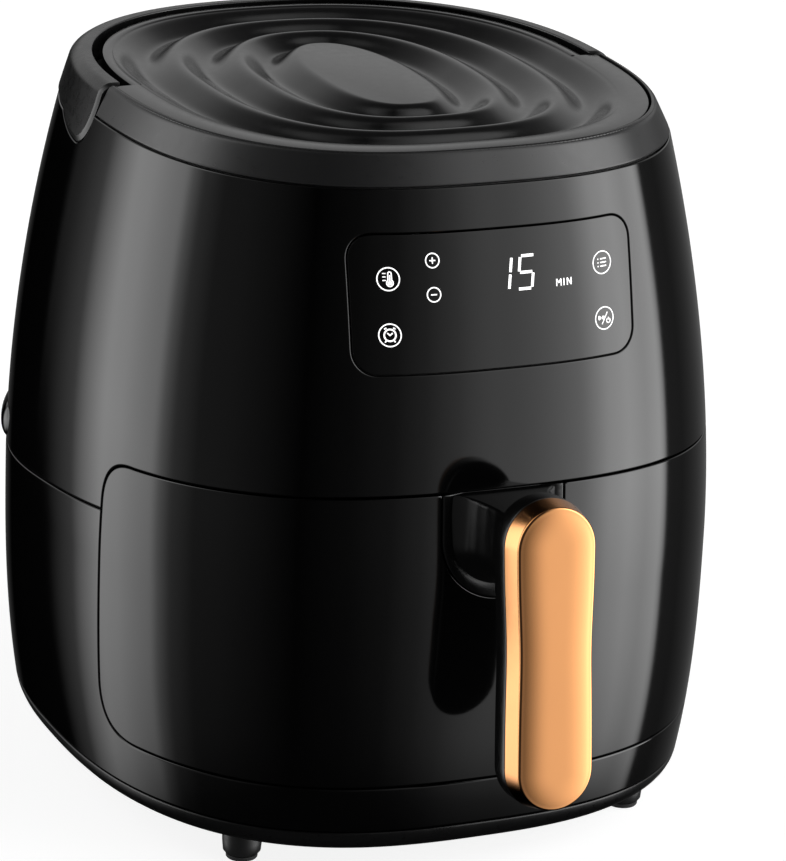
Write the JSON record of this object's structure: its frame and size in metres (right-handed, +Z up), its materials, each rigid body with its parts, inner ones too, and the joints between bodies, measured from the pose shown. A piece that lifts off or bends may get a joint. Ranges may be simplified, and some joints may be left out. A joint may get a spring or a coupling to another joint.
{
  "type": "air fryer",
  "caption": "Basket air fryer with a rounded gloss housing, a pull-out drawer with a copper bar handle, a touch panel and a fan-forced heater.",
  "frame": {"origin": "on the surface it stands on, under the middle of the whole object with its handle", "axes": "+Z up, front and handle towards -Y, +X to the right seen from the front"},
  "size_m": [0.296, 0.4192, 0.3184],
  "materials": {
    "gloss_shell": "deep gloss black moulded plastic",
    "satin_shell": "satin black moulded plastic",
    "satin_trim": "satin dark grey moulded plastic",
    "top_panel": "satin-gloss black moulded plastic",
    "touch_lens": "polished black touch lens with lit white symbols",
    "display": "black display block",
    "matte_inner": "matte black moulded plastic",
    "handle_black": "semi-gloss black moulded plastic",
    "foot_black": "satin black moulded plastic",
    "rubber_pad": "black rubber",
    "silicone": "black silicone",
    "copper": "polished copper-coloured metal",
    "nonstick": "dark grey non-stick coating with fine speckle",
    "duct_sheet": "plain aluminised sheet",
    "fan_sheet": "pressed aluminium",
    "plain_steel": "zinc-plated steel",
    "element_sheath": "heat-tinted steel sheath",
    "circuit_board": "green circuit board"
  },
  "bodies": {
    "housing": {"upper_shell": "gloss_shell", "lower_shell": "gloss_shell", "base_pan": "satin_shell", "front_trim": "satin_trim", "rear_trim": "satin_trim", "air_inlet": "matte_inner", "top_panel": "top_panel", "control_panel": "touch_lens", "display_board": "circuit_board", "display_module": "display", "rear_spacer": "gloss_shell", "exhaust_cover": "matte_inner", "exhaust_duct": "duct_sheet", "cord_gland": "matte_inner", "foot_front_left": "foot_black", "foot_pad_front_left": "rubber_pad", "foot_front_right": "foot_black", "foot_pad_front_right": "rubber_pad", "foot_rear_left": "foot_black", "foot_pad_rear_left": "rubber_pad", "foot_rear_right": "foot_black", "foot_pad_rear_right": "rubber_pad", "chamber_liner": "duct_sheet", "front_frame": "matte_inner", "ceiling_plate": "duct_sheet", "rail_left": "plain_steel", "rail_right": "plain_steel", "heater_hood": "duct_sheet", "heating_element": "element_sheath", "element_guard": "plain_steel", "temperature_probe": "plain_steel", "thermal_cutout": "plain_steel", "power_board": "circuit_board", "motor_bracket": "plain_steel", "fan_motor": "plain_steel", "drawer_switch": "matte_inner"},
    "drawer": {"drawer_front": "gloss_shell", "drawer_back_panel": "matte_inner", "drawer_top_cap": "matte_inner", "drawer_tub": "nonstick", "tub_bracket": "plain_steel", "handle_mount": "handle_black", "grip_shell": "handle_black", "grip_cover": "copper", "handle_screw_left": "plain_steel", "handle_screw_right": "plain_steel"},
    "crisper": {"crisper_plate": "nonstick", "plate_bumper_front_left": "silicone", "plate_bumper_front_right": "silicone", "plate_bumper_rear_left": "silicone", "plate_bumper_rear_right": "silicone"},
    "rotor": {"fan_shaft": "plain_steel", "hot_air_fan": "fan_sheet", "cooling_fan": "fan_sheet", "fan_nut": "plain_steel"},
    "plunger": {"switch_plunger": "matte_inner"}
  },
  "joints": [
    {"name": "drawer_slide", "type": "slide", "parent": "housing", "child": "drawer", "axis": [0, -1, 0], "range_m": [0, 0.24]},
    {"name": "crisper_lift", "type": "slide", "parent": "drawer", "child": "crisper", "axis": [0, 0, 1], "range_m": [0, 0.085]},
    {"name": "fan_spin", "type": "hinge", "parent": "housing", "child": "rotor", "pos_m": [0, -0.00404, 0.2], "axis": [0, 0, 1], "continuous": true},
    {"name": "plunger_press", "type": "slide", "parent": "housing", "child": "plunger", "axis": [0, 1, 0], "range_m": [0, 0.0015], "stiffness_N_per_m": 400}
  ]
}
